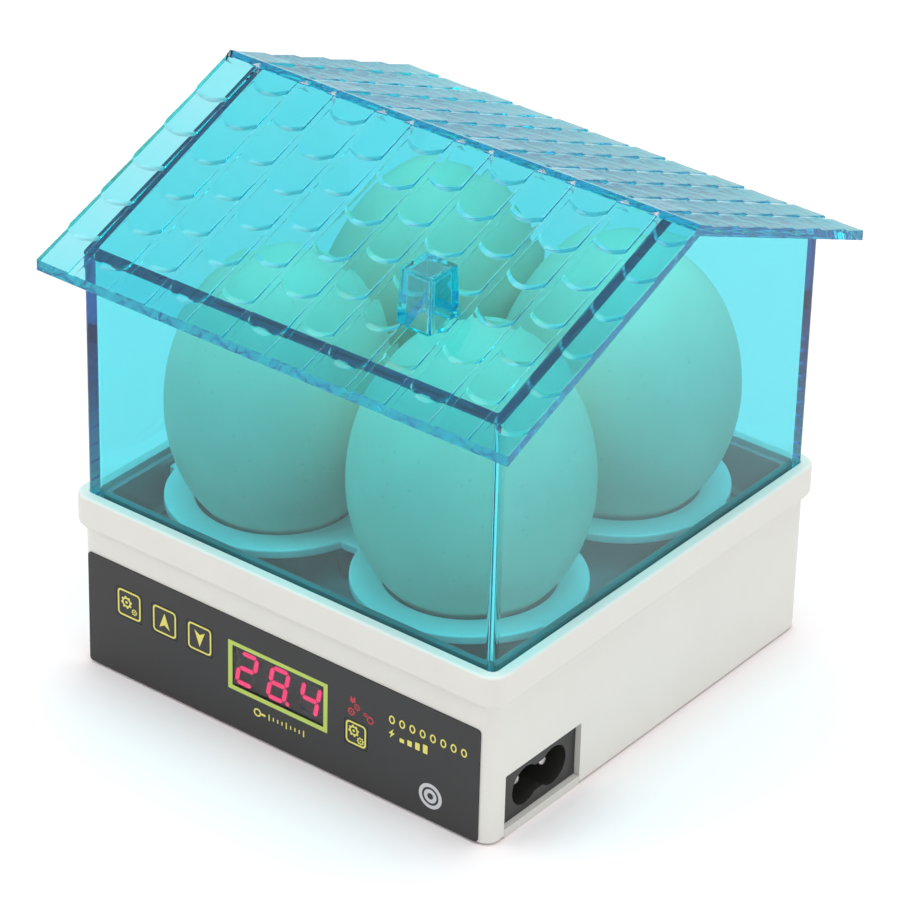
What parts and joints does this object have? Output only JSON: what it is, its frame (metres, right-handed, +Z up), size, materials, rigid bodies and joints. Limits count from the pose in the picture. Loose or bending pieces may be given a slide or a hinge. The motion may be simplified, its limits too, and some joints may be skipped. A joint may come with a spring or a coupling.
{
  "type": "egg incubator",
  "caption": "House-shaped table-top egg incubator with a tinted lift-off cover, a white heated base, a digital key panel and a tray of egg rings.",
  "frame": {"origin": "centre of the base on the table", "axes": "+X to the right along the front panel, +Y from the front to the back, +Z up"},
  "size_m": [0.1144, 0.1144, 0.1155],
  "materials": {
    "white_abs": "satin moulded",
    "steel_screws": "zinc plated",
    "overlay_film": "matt printed film",
    "display_window": "clear",
    "black_nylon": "moulded",
    "display_face": "smoked",
    "red_led": "clear",
    "circuit_board": "solder resist",
    "transformer_core": "taped",
    "capacitor_sleeve": "shrink sleeve",
    "fuse_glass": "clear",
    "green_nylon": "moulded",
    "inlet_nylon": "moulded",
    "nickel_pins": "nickel plated",
    "brown_wire": "insulated",
    "heater_silicone": "silicone",
    "red_wire": "insulated",
    "ceramic_body": "matt",
    "sensor_steel": "drawn",
    "grey_wire": "insulated",
    "black_rubber": "moulded",
    "grey_liner": "moulded",
    "tray_plastic": "moulded",
    "eggshell": "chalky",
    "clear_cover": "clear tinted",
    "clear_roof": "clear tinted"
  },
  "bodies": {
    "base": {"base_housing": "white_abs", "bottom_cover": "white_abs", "cover_screws": "steel_screws", "front_overlay": "overlay_film", "display_window": "display_window", "tact_switches": "black_nylon", "led_display": "display_face", "indicator_leds": "red_led", "control_board": "circuit_board", "control_board_screws": "steel_screws", "power_board": "circuit_board", "power_board_screws": "steel_screws", "transformer": "transformer_core", "filter_capacitor": "capacitor_sleeve", "triac": "black_nylon", "fuse": "fuse_glass", "terminal_block": "green_nylon", "inlet_socket": "inlet_nylon", "inlet_pins": "nickel_pins", "mains_wires": "brown_wire", "heater_mat": "heater_silicone", "heater_wires": "red_wire", "thermal_cutout": "ceramic_body", "temp_sensor": "sensor_steel", "sensor_wire": "grey_wire", "board_cable": "grey_wire", "sensor_grommet": "black_rubber", "chamber_liner": "grey_liner"},
    "tray": {"egg_tray": "tray_plastic"},
    "egg_1_body": {"egg_1": "eggshell"},
    "egg_2_body": {"egg_2": "eggshell"},
    "egg_3_body": {"egg_3": "eggshell"},
    "egg_4_body": {"egg_4": "eggshell"},
    "key_set_body": {"key_set": "overlay_film", "stem_set": "black_nylon"},
    "key_up_body": {"key_up": "overlay_film", "stem_up": "black_nylon"},
    "key_down_body": {"key_down": "overlay_film", "stem_down": "black_nylon"},
    "key_mode_body": {"key_mode": "overlay_film", "stem_mode": "black_nylon"},
    "cover": {"cover_walls": "clear_cover", "cover_roof": "clear_roof"}
  },
  "joints": [
    {"name": "cover_lift", "type": "slide", "parent": "base", "child": "cover", "axis": [0, 0, 1], "range_m": [0, 0.07]},
    {"name": "tray_lift", "type": "slide", "parent": "base", "child": "tray", "axis": [0, 0, 1], "range_m": [0, 0.008]},
    {"name": "egg_1_turn", "type": "hinge", "parent": "tray", "child": "egg_1_body", "pos_m": [0.0235, -0.0237, 0.058], "axis": [0, 0, 1], "continuous": true},
    {"name": "egg_2_turn", "type": "hinge", "parent": "tray", "child": "egg_2_body", "pos_m": [-0.0235, -0.0237, 0.058], "axis": [0, 0, 1], "continuous": true},
    {"name": "egg_3_turn", "type": "hinge", "parent": "tray", "child": "egg_3_body", "pos_m": [0.0237, 0.024, 0.058], "axis": [0, 0, 1], "continuous": true},
    {"name": "egg_4_turn", "type": "hinge", "parent": "tray", "child": "egg_4_body", "pos_m": [-0.0235, 0.0237, 0.058], "axis": [0, 0, 1], "continuous": true},
    {"name": "key_set_press", "type": "slide", "parent": "base", "child": "key_set_body", "axis": [0, 1, 0], "range_m": [0, 0.0003], "stiffness_N_per_m": 2000},
    {"name": "key_up_press", "type": "slide", "parent": "base", "child": "key_up_body", "axis": [0, 1, 0], "range_m": [0, 0.0003], "stiffness_N_per_m": 2000},
    {"name": "key_down_press", "type": "slide", "parent": "base", "child": "key_down_body", "axis": [0, 1, 0], "range_m": [0, 0.0003], "stiffness_N_per_m": 2000},
    {"name": "key_mode_press", "type": "slide", "parent": "base", "child": "key_mode_body", "axis": [0, 1, 0], "range_m": [0, 0.0003], "stiffness_N_per_m": 2000}
  ]
}
